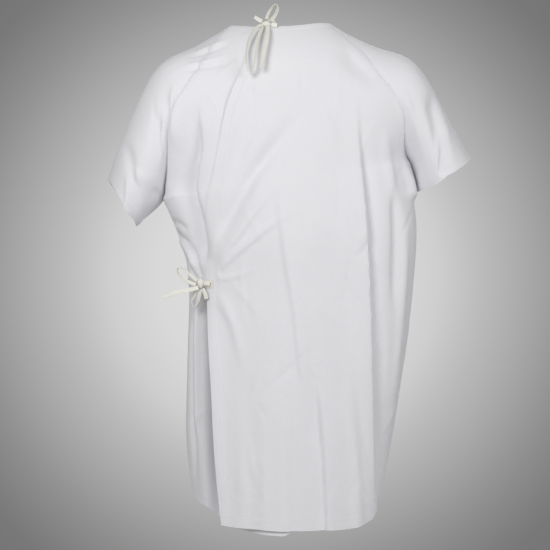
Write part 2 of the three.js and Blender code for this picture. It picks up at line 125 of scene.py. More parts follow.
def through(keys, at):
    """A smooth curve through evenly spaced keys, at an array of places."""
    keys = np.asarray(keys, float)
    at = np.asarray(at, float)
    last = len(keys) - 1
    i = np.clip(np.floor(at), 0, last - 1).astype(int)
    f = at - i
    if keys.ndim == 2:
        f = f[..., None]
    a, b, c, d = (keys[np.clip(i + j, 0, last)] for j in (-1, 0, 1, 2))
    return 0.5 * (2 * b + (c - a) * f + (2 * a - 5 * b + 4 * c - d) * f**2 + (3 * b - a - 3 * c + d) * f**3)


def smoothstep(x, low, high):
    t = np.clip((x - low) / (high - low), 0, 1)
    return t * t * (3 - 2 * t)


def on_sleeve(hand):
    shape = SLEEVES[hand]

    def point(station, turn):
        station, turn = np.broadcast_arrays(np.asarray(station, float), np.asarray(turn, float))
        p = through(shape["middle"], station)
        p = p + through(shape["up"], station) * np.cos(turn)[..., None]
        p = p + through(shape["back"], station) * np.sin(turn)[..., None]
        return p * MM * np.array([shape["side"], 1, 1])

    return point


def raglan_turn(half, station):
    turn = np.radians(through(RAGLAN_TURN[half], np.minimum(station, UNDERARM)))
    return turn if half == "back" else -turn


def row_end(half, hand, station):
    station = np.asarray(station, float)
    sleeve = on_sleeve(hand)
    upper = sleeve(np.minimum(station, UNDERARM), raglan_turn(half, station))
    shares = np.array(SIDE_SEAM_SHARES[hand])
    seam = shares * np.array([WAIST_WIDTH, 1, -HEM_DROP]) * MM
    keys = np.vstack([sleeve(UNDERARM, math.pi), seam])
    lower = through(keys, np.maximum(station - UNDERARM, 0))
    return np.where((station <= UNDERARM)[..., None], upper, lower)


def on_body(half):
    shape = BODY[half]

    def point(station, angle):
        station, angle = np.broadcast_arrays(np.asarray(station, float), np.asarray(angle, float))
        left, right = row_end(half, "left", station), row_end(half, "right", station)
        share = ((1 + np.sin(angle)) / 2)[..., None]
        facing = np.maximum(0, np.cos(angle))
        p = left * (1 - share) + right * share
        bulge = through(shape["depth"], station) * MM - (left[..., 1] + right[..., 1]) / 2
        p[..., 1] += bulge * facing ** through(shape["round"], station)
        p[..., 2] += through(shape["droop"], station) * MM * facing**2
        return p

    return point


on_back, on_front = on_body("back"), on_body("front")


def angle_at_x(station, x):
    left = row_end("back", "left", station)[..., 0]
    right = row_end("back", "right", station)[..., 0]
    return np.arcsin(np.clip((2 * x - left - right) / (right - left), -1, 1))


def outer_edge(station):
    return angle_at_x(station, WAIST_WIDTH * MM * through(OUTER_EDGE_SHARES, station))


def inner_edge(station):
    return angle_at_x(station, WAIST_WIDTH * MM * through(INNER_EDGE_SHARES, station))


def on_inner_back(station, angle):
    p = on_back(station, angle)
    full = np.minimum(math.radians(-50), outer_edge(station) - math.radians(3))
    p[..., 1] += LAYER_GAP * smoothstep(angle, math.radians(-80), full)
    return p


# ---- folds ----
# A fold is a raised or sunk line on the cloth: its path as (x, z) in millimetres on the back or the
# front, its height, how far it spreads to the left and right of the way it runs, and the shares of
# its length over which it rises from nothing at its start and sinks to nothing at its end.
def fold(path, height, left, right, start=0.3, end=0.3):
    return {"path": path, "height": height, "spread": (left, right), "fade": (start, end)}


RIGHT_SIDE_EDGE = [
    (160, -150), (166, -258), (175, -367), (184, -497), (192, -693), (197, -889), (203, -1041), (205, -1125),
]
BACK_FOLDS = [
    # the long edge down the wearer's right, where the back turns to the side
    fold(RIGHT_SIDE_EDGE, 13, 30, 5, 0.3, 0.02),
    fold([(x + 11, z) for x, z in RIGHT_SIDE_EDGE], -8, 4, 18, 0.3, 0.02),
    # the centre crease, from between the shoulder blades to the hem
    fold([(-14, -310), (-1, -443), (12, -540), (27, -627), (44, -779), (60, -890)], 5, 7, 26, 0.3, 0.3),
    fold([(57, -700), (76, -845), (86, -950), (90, -1040), (92, -1145)], -12, 48, 6, 0.5, 0.02),
    fold([(140, -720), (152, -850), (160, -950), (166, -1040), (170, -1125)], 7, 16, 12, 0.5, 0.02),
    fold([(0, -760), (4, -900), (8, -1125)], 4, 22, 14, 0.5, 0.02),
    fold([(-70, -720), (-66, -900), (-62, -1125)], -4, 18, 20, 0.5, 0.02),
    # drag lines up from the side tie
    fold([(-152, -505), (-101, -421), (-58, -346), (7, -259), (80, -176)], -13, 13, 20, 0.2, 0.5),
    fold([(-146, -548), (-101, -484), (-43, -405), (10, -350)], 6, 8, 12, 0.15, 0.6),
    fold([(-146, -560), (-85, -505), (-14, -450), (60, -410)], 5, 6, 9, 0.15, 0.6),
    fold([(-143, -574), (-90, -562), (-30, -540)], 2.5, 6, 7, 0.15, 0.7),
    fold([(-140, -596), (-104, -680), (-78, -800)], 5, 9, 12, 0.2, 0.6),
    fold([(-20, -150), (-52, -210), (-84, -285), (-104, -360)], -4, 9, 12, 0.4, 0.4),
    # soft folds between the shoulder blade and the right side
    fold([(248, -320), (252, -476), (250, -660)], -9, 10, 12),
    fold([(226, -230), (238, -330), (268, -440)], 7, 12, 11),
    fold([(276, -400), (270, -560), (256, -760), (238, -960)], 6, 9, 11, 0.3, 0.4),
    fold([(222, -640), (220, -800), (214, -1000), (212, -1125)], -6, 7, 10, 0.3, 0.02),
    fold([(60, -150), (100, -230), (130, -330)], 4, 18, 14, 0.4, 0.5),
    # the right armhole and sleeve
    fold([(256, -125), (274, -205), (284, -262), (293, -330), (297, -400)], 12, 11, 15, 0.3, 0.08),
    fold([(330, -140), (356, -238), (372, -350)], -14, 24, 10, 0.3, 0.1),
    fold([(130, -50), (175, -105), (235, -150)], -8, 30, 16, 0.3, 0.3),
    fold([(380, -215), (352, -290), (330, -400)], 6, 9, 14, 0.4, 0.1),
    # beside the wrap, on the inner panel and the left side
    fold(
        [(-184, -170), (-188, -220), (-186, -281), (-199, -367), (-178, -454), (-166, -545)],
        -22, 26, 9, 0.35, 0.15,
    ),
    fold([(-231, -125), (-229, -205), (-222, -300)], 10, 13, 16),
    fold([(-268, -200), (-276, -262), (-270, -330)], -10, 8, 10),
    fold([(-246, -437), (-222, -452), (-212, -470)], -5, 5, 6, 0.2, 0.4),
    fold([(-240, -462), (-215, -484), (-202, -498)], -5, 4, 5, 0.2, 0.4),
    fold([(-236, -474), (-212, -508), (-190, -552)], 6, 5, 5, 0.2, 0.2),
    fold([(-208, -486), (-190, -530), (-176, -570)], -7, 5, 5, 0.3, 0.1),
    fold([(-222, -508), (-204, -545), (-184, -574)], -5, 4, 4, 0.3, 0.1),
    fold([(-199, -600), (-199, -844), (-193, -960), (-188, -1070)], -8, 4, 6, 0.08, 0.3),
    fold([(-186, -600), (-186, -844), (-181, -960)], 7, 6, 5, 0.1, 0.3),
    # the left sleeve: the cloth over the arm falls in a fold above the shaded lower side
    fold([(-338, -318), (-304, -346), (-283, -364), (-262, -392)], 9, 26, 5, 0.5, 0.2),
    fold([(-334, -330), (-338, -385), (-343, -455)], 6, 8, 6, 0.25, 0.05),
    fold([(-316, -345), (-320, -395), (-322, -460)], -6, 10, 14, 0.3, 0.05),
    # the left armhole
    fold([(-236, -190), (-243, -300), (-247, -360), (-244, -400)], 8, 18, 18, 0.3, 0.2),
    fold([(-352, -250), (-336, -310), (-326, -380)], -6, 9, 12, 0.4, 0.2),
    # folds lying across the left shoulder
    fold([(-222, -99), (-166, -90), (-114, -74)], 3, 6, 4),
    fold([(-222, -111), (-166, -104), (-108, -94)], -3.5, 5, 5),
    fold([(-214, -78), (-160, -67), (-114, -52)], -3, 5, 5),
    fold([(-200, -65), (-150, -51), (-112, -38)], 3, 6, 4),
    fold([(-150, -125), (-118, -110), (-92, -84)], 2.5, 7, 6),
]
FRONT_FOLDS = [
    fold([(-120, -420), (-135, -700), (-128, -1125)], 9, 22, 14, 0.4, 0.02),
    fold([(-60, -350), (-70, -700), (-78, -1125)], -7, 20, 20, 0.4, 0.02),
    fold([(10, -500), (5, -800), (-8, -1125)], 8, 22, 16, 0.4, 0.02),
    fold([(95, -380), (85, -700), (78, -1125)], -8, 18, 24, 0.4, 0.02),
    fold([(170, -330), (172, -700), (150, -1125)], 9, 18, 24, 0.4, 0.02),
    fold([(60, -100), (110, -200), (200, -290)], -6, 16, 16),
    fold([(-60, -100), (-110, -200), (-200, -320)], -6, 16, 16),
    fold([(-30, -90), (0, -110), (30, -90)], -4, 14, 14),
]
# the inner panel falls back from the free edge that wraps over it, below the side tie
INNER_HOLLOW = fold(
    [(-154, -596), (-150, -730), (-149, -840), (-146, -950), (-143, -1040), (-140, -1125)],
    -48, 17, 60, 0.05, 0.02,
)
# and that free edge stands out from it there, while above the tie it lies close
EDGE_LIFT = fold(
    [(-163, -600), (-158, -700), (-152, -840), (-146, -960), (-135, -1125)],
    12, 40, 22, 0.3, 0.02,
)
EDGE_SETTLE = fold(
    [
        (-50, -60), (-62, -132), (-84, -193), (-121, -247),
        (-153, -334), (-160, -389), (-164, -519), (-163, -580),
    ],
    -3.6, 30, 24, 0.1, 0.1,
)

SMALL_CREASES = 90
CREASE_SEED = 21


def small_creases():
    """Short shallow creases all over the back, which run mostly down the cloth."""
    draw = np.random.default_rng(CREASE_SEED)
    creases = []
    for _ in range(SMALL_CREASES):
        x, z = draw.uniform(-300, 340), draw.uniform(-1060, -90)
        lean, length = draw.normal(0, 0.45), draw.uniform(50, 180)
        bow = draw.uniform(-10, 10)
        path = [(x, z), (x + lean * length / 2 + bow, z - length / 2), (x + lean * length, z - length)]
        height = draw.uniform(0.7, 2.0) * draw.choice([-1, 1])
        creases.append(fold(path, height, draw.uniform(3.5, 8), draw.uniform(3.5, 12), 0.5, 0.5))
    return creases


REACH = 3.2  # spreads from its line to where a fold has died away


def fold_height(p, item):
    """Height of one fold at points p, in metres, before it is limited to its face of the gown."""
    keys = np.array(item["path"], float) * MM
    line = through(keys, np.linspace(0, len(keys) - 1, 8 * (len(keys) - 1) + 1))
    steps = np.linalg.norm(np.diff(line, axis=0), axis=1)
    reached = np.concatenate([[0], np.cumsum(steps)])
    left, right = (s * MM for s in item["spread"])
    margin = REACH * max(left, right)
    every = p[..., [0, 2]].reshape(-1, 2)
    near = np.all((every > line.min(0) - margin) & (every < line.max(0) + margin), axis=1)
    flat = every[near]
    best = np.full(len(flat), np.inf)
    aside = np.zeros(len(flat))
    along = np.zeros(len(flat))
    for k, step in enumerate(steps):
        way = (line[k + 1] - line[k]) / step
        from_start = flat - line[k]
        t = np.clip(from_start @ way, 0, step)
        off = from_start - t[:, None] * way
        distance = np.hypot(off[:, 0], off[:, 1])
        nearer = distance < best
        best = np.where(nearer, distance, best)
        aside = np.where(nearer, way[0] * off[:, 1] - way[1] * off[:, 0], aside)
        along = np.where(nearer, (reached[k] + t) / reached[-1], along)
    spread = np.where(aside > 0, right, left)
    start, end = item["fade"]
    ends = smoothstep(along, 0, start) * smoothstep(1 - along, 0, end)
    height = np.zeros(len(every))
    height[near] = item["height"] * MM * np.exp(-((best / spread) ** 2)) * ends
    return height.reshape(p.shape[:-1])


RIPPLES = 26
RIPPLE_SEED = 7
random = np.random.default_rng(RIPPLE_SEED)
ripple_waves = []
for _ in range(RIPPLES):
    length = random.uniform(0.07, 0.26)
    heading = random.uniform(0, 2 * math.pi)
    way = np.array([math.cos(heading), math.sin(heading), random.uniform(-0.35, 0.35)])
    phase = random.uniform(0, 2 * math.pi)
    height = random.uniform(0.2, 0.6) * MM * (length / 0.15)
    ripple_waves.append((2 * math.pi / length * way, phase, height))


ALL_BACK_FOLDS = BACK_FOLDS + small_creases()


def displacement(p, own_folds=()):
    """How far the cloth stands out from the plain shape of the gown, at points p."""
    back = smoothstep(-p[..., 1], -0.02, 0.03)
    front = smoothstep(p[..., 1], 0.03, 0.08)
    total = sum(fold_height(p, item) for item in ALL_BACK_FOLDS) * back
    total += sum(fold_height(p, item) for item in FRONT_FOLDS) * front
    total += sum(fold_height(p, item) for item in own_folds) * back
    for wave, phase, height in ripple_waves:
        total += height * np.sin(p @ wave + phase)
    return total


def outward(p):
    """The way out of the gown at points p, the same for all the pieces that meet there."""
    spine = np.zeros_like(p)
    spine[..., 0] = np.clip(p[..., 0], -0.12, 0.14)
    spine[..., 2] = np.clip(p[..., 2], -1.2, -0.16)
    arm = np.abs(p[..., 0]) > 0.14
    spine[..., 2] = np.where(arm, np.minimum(spine[..., 2], p[..., 2] - 0.02), spine[..., 2])
    way = p - spine
    return way / np.maximum(np.linalg.norm(way, axis=-1, keepdims=True), 1e-6)


# How much lower than its plain shape the hem of each back panel hangs, as (x, drop) in millimetres.
OUTER_HEM_DROP = [(-150, 20), (-130, 20), (-50, 8), (30, 6), (100, 14), (165, 28), (200, 26), (225, 0)]
INNER_HEM_DROP = [(-160, 0), (-115, 22), (-50, 19), (5, 17), (25, 8), (60, 0)]
DROP_START = 5.6


def worn(point_at, own_folds=(), hem_drop=((0, 0), (1, 0))):
    """The surface point_at with its folds, and with what its neighbours don't have: folds of its
    own and a hem that hangs lower."""
    places, drops = np.array(hem_drop, float).T * MM

    def point(station, angle):
        p = point_at(station, angle)
        p = p + outward(p) * displacement(p, own_folds)[..., None]
        p[..., 2] -= np.interp(p[..., 0], places, drops) * smoothstep(station, DROP_START, HEM)
        return p

    return point


SURFACES = {
    "front": worn(on_front),
    "outer": worn(on_back, (EDGE_LIFT, EDGE_SETTLE), OUTER_HEM_DROP),
    "inner": worn(on_inner_back, (INNER_HOLLOW,), INNER_HEM_DROP),
    "left_sleeve": worn(on_sleeve("left")),
    "right_sleeve": worn(on_sleeve("right")),
}

# ---- materials ----
def linear(colour):
    return tuple(((c + 0.055) / 1.055) ** 2.4 if c > 0.04045 else c / 12.92 for c in colour) + (1.0,)


def node(tree, kind, inputs=(), **settings):
    made = tree.nodes.new(kind)
    for key, value in settings.items():
        setattr(made, key, value)
    for socket, value in dict(inputs).items():
        if isinstance(value, bpy.types.NodeSocket):
            tree.links.new(value, made.inputs[socket])
        else:
            made.inputs[socket].default_value = value
    return made


def maths(tree, operation, a, b=0.5, c=0.5):
    return node(tree, "ShaderNodeMath", {0: a, 1: b, 2: c}, operation=operation).outputs[0]


def base_material(name, roughness, sheen):
    material = bpy.data.materials.new(name)
    material.use_nodes = True
    tree = material.node_tree
    shader = tree.nodes["Principled BSDF"]
    shader.inputs["Roughness"].default_value = roughness
    shader.inputs["Sheen Weight"].default_value = sheen
    shader.inputs["Sheen Roughness"].default_value = 0.5
    shader.inputs["Specular IOR Level"].default_value = 0.25
    return material, tree, shader


THREAD_PITCH = 0.55 * MM


def cloth_material(name, colour, stitches=()):
    """Plain-woven cotton. Each of stitches is (axis of the cloth's map, its distance from 0)."""
    material, tree, shader = base_material(name, 0.92, 0.25)
    uv = node(tree, "ShaderNodeUVMap", uv_map="cloth").outputs[0]
    parts = node(tree, "ShaderNodeSeparateXYZ", {0: uv})
    place = node(tree, "ShaderNodeTexCoord").outputs["Object"]
    turns_across = maths(tree, "MULTIPLY", parts.outputs[0], 2 * math.pi / THREAD_PITCH)
    across_threads = maths(tree, "SINE", turns_across)
    down_threads = maths(tree, "SINE", maths(tree, "MULTIPLY", parts.outputs[1], 2 * math.pi / THREAD_PITCH))
    weave = maths(tree, "MULTIPLY", across_threads, down_threads)
    slubs = node(tree, "ShaderNodeTexNoise", {"Vector": place, "Scale": 420.0, "Detail": 2.0}).outputs[0]
    crumple = node(tree, "ShaderNodeTexNoise", {
        "Vector": place, "Scale": 26.0, "Detail": 5.0, "Roughness": 0.55, "Distortion": 0.4,
    }).outputs[0]
    shade = node(tree, "ShaderNodeTexNoise", {"Vector": place, "Scale": 7.0, "Detail": 3.0}).outputs[0]
    dark = tuple(0.955 * c for c in colour)
    tint = maths(tree, "MULTIPLY_ADD", shade, 0.5, maths(tree, "MULTIPLY", slubs, 0.5))
    mix = node(tree, "ShaderNodeMix", data_type="RGBA")
    mix.inputs["A"].default_value = linear(dark)
    mix.inputs["B"].default_value = linear(colour)
    tree.links.new(tint, mix.inputs["Factor"])
    mixed = mix.outputs["Result"]
    height = maths(tree, "MULTIPLY_ADD", weave, 0.06, maths(tree, "MULTIPLY", slubs, 0.25))
    line = None
    for axis, distance in stitches:
        off = maths(tree, "ABSOLUTE", maths(tree, "SUBTRACT", parts.outputs[axis], distance))
        on_line = maths(tree, "LESS_THAN", off, 0.45 * MM)
        run = maths(tree, "FRACT", maths(tree, "MULTIPLY", parts.outputs[1 - axis], 1 / (2.6 * MM)))
        dash = maths(tree, "MULTIPLY", on_line, maths(tree, "LESS_THAN", run, 0.78))
        line = dash if line is None else maths(tree, "MAXIMUM", line, dash)
    if line is not None:
        stitch_mix = node(tree, "ShaderNodeMix", data_type="RGBA")
        stitch_mix.inputs["B"].default_value = linear(tuple(0.94 * c for c in colour))
        tree.links.new(line, stitch_mix.inputs["Factor"])
        tree.links.new(mixed, stitch_mix.inputs["A"])
        mixed = stitch_mix.outputs["Result"]
        height = maths(tree, "MULTIPLY_ADD", line, -0.7, height)
    tree.links.new(mixed, shader.inputs["Base Color"])
    fine = node(tree, "ShaderNodeBump", {"Height": height, "Distance": 0.25 * MM, "Strength": 0.5})
    broad = node(tree, "ShaderNodeBump", {
        "Height": crumple, "Distance": 4.5 * MM, "Strength": 0.35, "Normal": fine.outputs[0],
    })
    tree.links.new(broad.outputs[0], shader.inputs["Normal"])
    return material


def tape_material():
    """Ivory twill tape."""
    material, tree, shader = base_material("ivory_tape", 0.85, 0.2)
    uv = node(tree, "ShaderNodeUVMap", uv_map="cloth").outputs[0]
    parts = node(tree, "ShaderNodeSeparateXYZ", {0: uv})
    slant = maths(tree, "ADD", parts.outputs[0], parts.outputs[1])
    twill = maths(tree, "SINE", maths(tree, "MULTIPLY", slant, 2 * math.pi / (0.9 * MM)))
    place = node(tree, "ShaderNodeTexCoord").outputs["Object"]
    fuzz = node(tree, "ShaderNodeTexNoise", {"Vector": place, "Scale": 500.0, "Detail": 2.0}).outputs[0]
    mix = node(tree, "ShaderNodeMix", data_type="RGBA")
    mix.inputs["A"].default_value = linear((0.90, 0.89, 0.85))
    mix.inputs["B"].default_value = linear((0.955, 0.95, 0.915))
    tree.links.new(fuzz, mix.inputs["Factor"])
    tree.links.new(mix.outputs["Result"], shader.inputs["Base Color"])
    height = maths(tree, "MULTIPLY_ADD", twill, 0.3, maths(tree, "MULTIPLY", fuzz, 0.3))
    bump = node(tree, "ShaderNodeBump", {"Height": height, "Distance": 0.3 * MM, "Strength": 0.6})
    tree.links.new(bump.outputs[0], shader.inputs["Normal"])
    return material


WHITE = (0.93, 0.93, 0.944)
FREE_EDGE_STITCH, HEM_STITCH, SLEEVE_STITCH = 18.5 * MM, 20 * MM, 16 * MM
cotton = {
    "free_edged": cloth_material("cotton_free_edged", WHITE, ((0, FREE_EDGE_STITCH), (1, HEM_STITCH))),
    "hemmed": cloth_material("cotton_hemmed", WHITE, ((1, HEM_STITCH),)),
    "sleeve": cloth_material("cotton_sleeve", WHITE, ((1, SLEEVE_STITCH),)),
    "seam": cloth_material("cotton_seam", WHITE, ((0, 1.2 * MM), (0, 7.4 * MM))),
    "binding": cloth_material("cotton_binding", WHITE, ((0, 1.3 * MM),)),
}
tape_cotton = tape_material()


# ---- meshes ----
def grid_normals(points):
    down = np.gradient(points, axis=0)
    across = np.gradient(points, axis=1)
    normal = np.cross(down, across)
    return normal / np.maximum(np.linalg.norm(normal, axis=-1, keepdims=True), 1e-12)


def map_lengths(points):
    """Lengths along each row from its first column, and down each column from its last row."""
    across = np.linalg.norm(np.diff(points, axis=1), axis=-1)
    down = np.linalg.norm(np.diff(points, axis=0), axis=-1)
    u = np.pad(np.cumsum(across, axis=1), ((0, 0), (1, 0)))
    v = np.pad(np.cumsum(down[::-1], axis=0)[::-1], ((0, 1), (0, 0)))
    return u, v


def sheet_mesh(name, points, thickness, material):
    """A closed thin sheet over a grid of points; thickness is a number or one for each point."""
    rows, columns = points.shape[:2]
    normal = grid_normals(points)
    half = (np.ones((rows, columns)) * thickness / 2)[..., None]
    outer, inner = points + normal * half, points - normal * half
    vertices = np.concatenate([outer.reshape(-1, 3), inner.reshape(-1, 3)])
    number = np.arange(rows * columns).reshape(rows, columns)
    a, b, c, d = number[:-1, :-1], number[1:, :-1], number[1:, 1:], number[:-1, 1:]
    front = np.stack([a, b, c, d], -1).reshape(-1, 4)
    back = front[:, ::-1] + rows * columns
    rim = np.concatenate([number[:, 0], number[-1, 1:], number[-2::-1, -1], number[0, -2:0:-1]])
    following = np.roll(rim, -1)
    side = np.stack([following, rim, rim + rows * columns, following + rows * columns], -1)
    faces = np.concatenate([front, back, side])
    u, v = map_lengths(points)
    uv = np.tile(np.stack([u, v], -1).reshape(-1, 2), (2, 1))
    return make_object(name, vertices, faces, uv, material)


def make_object(name, vertices, faces, uv, material):
    mesh = bpy.data.meshes.new(name)
    mesh.from_pydata(vertices.tolist(), [], faces.tolist())
    layer = mesh.uv_layers.new(name="cloth")
    corners = np.empty(len(mesh.loops), int)
    mesh.loops.foreach_get("vertex_index", corners)
    layer.data.foreach_set("uv", uv[corners].ravel())
    mesh.shade_smooth()
    mesh.set_sharp_from_angle(angle=math.radians(55))
    mesh.materials.append(material)
    mesh.validate()
    obj = bpy.data.objects.new(name, mesh)
    bpy.context.collection.objects.link(obj)
    return obj


# ---- ties ----
TAPE_WIDTH, TAPE_THICKNESS = 9 * MM, 1.0 * MM


def ribbon(name, keys, width=TAPE_WIDTH, steps=None):
    """A tape along keys, each (x, y, z, twist in degrees), flat to the back at a twist of 0."""
    keys = np.asarray(keys, float)
    steps = steps or 12 * (len(keys) - 1)
    at = np.linspace(0, len(keys) - 1, steps + 1)
    middle = through(keys[:, :3], at)
    twist = np.radians(through(keys[:, 3], at))[:, None]
    along = np.gradient(middle, axis=0)
    along /= np.linalg.norm(along, axis=1, keepdims=True)
    flat = np.cross([0, -1, 0], along)
    flat /= np.linalg.norm(flat, axis=1, keepdims=True)
    raised = np.cross(along, flat)
    side = flat * np.cos(twist) + raised * np.sin(twist)
    crown = np.cross(along, side)
    offsets = np.linspace(-0.5, 0.5, 5)
    cup = 0.06 * width * (1 - 4 * offsets**2)
    points = middle[:, None] + side[:, None] * (offsets * width)[None, :, None]
    points = points + crown[:, None] * cup[None, :, None]
    return sheet_mesh(name, points, TAPE_THICKNESS, tape_cotton), middle


NECK_KNOT_X = -33 * MM
NECK_BOW = {
    "neck_tie_outer": [[24, -3, 1.5, 0], [18, -2, 1.5, 5], [11.6, -1, 1, 10]],
    "neck_tie_inner": [[18, 3, -18, 0], [15, 9, -12, 0], [9, 12, -4, 10], [4, 8.8, 0, 10]],
    "neck_loop_small": [
        [1, 10.5, 4, 40], [6, 24, 6, 50], [16, 38, 7, 75], [24, 42, 8, 95],
        [26, 32, 9, 120], [20, 18, 9, 130], [11, 7, 7, 140],
    ],
    "neck_tail_short": [[-9.5, 6, 0.5, 10], [-18, 10, 3, 20], [-26, 15, 5, 30]],
    "neck_loop_long": [
        [-9.8, -2.5, 3.2, 30], [-24, -14, 5, 40], [-38, -42, 5, 55], [-44, -84, 5, 70],
        [-37, -119, 7, 95], [-27, -102, 9, 120], [-22, -56, 9, 135], [-9, -8, 6, 145],
    ],
    "neck_tail_long": [[4, -6.4, 3, 15], [2, -36, 6, 25], [-6, -74, 10, 35], [-13, -110, 13, 50]],
}
SIDE_BOW = {
    "side_tie_outer": [[21, -1, 6, 0], [15, 0, 4.5, 0], [8.4, 0, 2, 0]],
    "side_loop_upper": [
        [-7.6, 6, 3, 35], [-20, 17, 5, 45], [-36, 31, 7, 65], [-48, 35, 7, 90],
        [-50, 24, 7, 115], [-36, 10, 7, 135], [-21, 1, 6, 145], [-10.5, -2, 5, 150],
    ],
    "side_loop_lower": [
        [-5.5, -9, -1, 25], [-14, -25, -2, 40], [-20, -40, -1, 70], [-15, -50, 1, 95],
        [-7, -42, 3, 120], [-3, -27, 3, 140], [-1, -14, 2, 150],
    ],
    "side_tail_long": [[-5, -9, 7, 10], [-28, -15, 15, 20], [-55, -20, 16, 30], [-80, -30, 16, 40]],
    "side_tail_short": [[4, -11.5, 1.5, 10], [10, -22, 2, 15], [13, -34, 3, 25]],
}
BODY_OF = {
    "neck_loop_long": "neck_bow",
    "neck_tail_long": "neck_bow",
    "side_loop_upper": "side_bow",
    "side_tail_long": "side_bow",
    "side_loop_lower": "side_bow_lower",
    "side_tail_short": "side_bow_lower",
}


def middle_of(name):
    low, high = (Vector(c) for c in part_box(name))
    return np.array((low + high) / 2)


neck_knot, side_knot = middle_of("neck_knot"), middle_of("side_knot")


def slope_out(up):
    """How far the back has come out at a height below the neck knot."""
    if up > -12:
        return 0.0
    stations = np.linspace(0, 2, 201)
    line = on_back(stations, angle_at_x(stations, NECK_KNOT_X))
    drop = line[0, 2] - line[:, 2]
    return float(np.interp(-up * MM, drop, line[0, 1] - line[:, 1])) / MM


SHORTEST_CORD = 6 * TAPE_WIDTH


def make_ties():
    """Each bow's loops, tails, leads and ends as tapes on their bodies, sorted by length into lists of long
    and short ones.
    """
    for knot, bow, follows_back in ((neck_knot, NECK_BOW, True), (side_knot, SIDE_BOW, False)):
        made, short = [], []
        for name, keys in bow.items():
            placed = []
            for right, up, out, twist in keys:
                out += slope_out(up) if follows_back else 0
                placed.append([knot[0] + right * MM, knot[1] - out * MM, knot[2] + up * MM, twist])
            obj, middle = ribbon(name + "_tape", placed)
            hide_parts(name)
            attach(obj, BODY_OF.get(name, "gown"))
            length = float(np.linalg.norm(np.diff(middle, axis=0), axis=1).sum())
            if length < SHORTEST_CORD:
                short.append(obj)
            else:
                made.append((name, obj, middle, length))


make_ties()

# ---- cloth sheets ----
PANEL_THICKNESS, HEM_THICKNESS = 0.9 * MM, 1.9 * MM
STEP = 4 * MM
# Half the strip over which a turned hem or edge rises from the single cloth.
FOLD_RISE = 0.8 * MM
# The cloth's length from one station to the next.
BODY_PACE, SLEEVE_PACE = 0.14, 0.12


def row_stations(hem, hem_height, pace, top=0.03):
    """Stations from the neck to the hem, with rows close together where the hem is turned."""
    near_hem = np.array([
        hem_height + 2 * MM, hem_height + FOLD_RISE, hem_height - FOLD_RISE, hem_height / 2, 1 * MM, 0,
    ])
    upper = np.linspace(top, hem - near_hem[0] / pace, int((hem - top) * pace / STEP))
    return np.concatenate([upper[:-1], hem - near_hem / pace])


def column_angles(point_at, stations, start, end, edge_width):
    """Angles of evenly spaced columns in each row, close together at the start's turned edge."""
    turned = np.array([0])
    if edge_width:
        turned = np.array([0, 1 * MM, edge_width / 2, edge_width - FOLD_RISE, edge_width + FOLD_RISE])
    trial = np.linspace(0, 1, 161)
    angles = start[:, None] + (end - start)[:, None] * trial[None]
    points = point_at(stations[:, None], angles)
    reach = np.pad(np.cumsum(np.linalg.norm(np.diff(points, axis=1), axis=-1), axis=1), ((0, 0), (1, 0)))
    count = int(reach[:, -1].max() / STEP)
    rows = []
    for k in range(len(stations)):
        rest = np.linspace(turned[-1], reach[k, -1], count + 1)
        wanted = np.concatenate([turned[:-1], rest])
        rows.append(np.interp(wanted, reach[k], angles[k]))
    return np.array(rows)


def cloth_thickness(points, edge_width, hem_height):
    u, v = map_lengths(points)
    turned = 1 - smoothstep(v, hem_height - 0.4 * MM, hem_height + 0.6 * MM)
    if edge_width:
        turned = np.maximum(turned, 1 - smoothstep(u, edge_width - 0.4 * MM, edge_width + 0.6 * MM))
    return PANEL_THICKNESS + (HEM_THICKNESS - PANEL_THICKNESS) * turned


def make_cloth(name, surface, plain, start, end, hem, hem_height, pace, edge_width, material, nodes,
               reach=None):
    """A panel or a sleeve. reach gives the station of the hem at each angle, where it isn't level."""
    stations = row_stations(hem, hem_height, pace)
    angles = column_angles(plain, stations, start(stations), end(stations), edge_width)
    rows = np.broadcast_to(stations[:, None], angles.shape)
    if reach:
        rows = rows + (reach(angles) - hem) * smoothstep(rows, UNDERARM + 0.1, hem)
    points = surface(rows, angles)
    obj = sheet_mesh(name, points, cloth_thickness(points, edge_width, hem_height), material)
    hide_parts(*nodes)
    return obj, cut_area(plain(stations[:, None], angles))


def cut_area(points):
    """The area of the cloth before it is folded, in square metres."""
    across = points[:-1, 1:] - points[:-1, :-1]
    down = points[1:, :-1] - points[:-1, :-1]
    return float(np.linalg.norm(np.cross(across, down), axis=-1).sum())


def constant(value):
    return lambda stations: np.full(len(stations), value)


HEM_HEIGHT, SLEEVE_HEM_HEIGHT, FREE_EDGE_WIDTH = 21 * MM, 17 * MM, 19.5 * MM
front_cloth, front_area = make_cloth(
    "front_cloth", SURFACES["front"], on_front, constant(LEFT_END), constant(RIGHT_END),
    HEM, HEM_HEIGHT, BODY_PACE, 0, cotton["hemmed"], ["front_panel", "front_hem"],
)
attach(front_cloth, "gown")
inner_cloth, inner_area = make_cloth(
    "inner_back_cloth", SURFACES["inner"], on_inner_back, inner_edge, constant(LEFT_END),
    HEM, HEM_HEIGHT, BODY_PACE, FREE_EDGE_WIDTH, cotton["free_edged"],
    ["inner_back_panel", "inner_back_hem", "inner_free_edge"],
)
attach(inner_cloth, "gown")
outer_cloth, outer_area = make_cloth(
    "outer_back_cloth", SURFACES["outer"], on_back, outer_edge, constant(RIGHT_END),
    HEM, HEM_HEIGHT, BODY_PACE, FREE_EDGE_WIDTH, cotton["free_edged"],
    [
        "outer_back_panel", "outer_back_hem", "outer_free_edge_upper",
        "flap_panel", "flap_hem", "flap_free_edge",
    ],
)
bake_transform(outer_cloth)
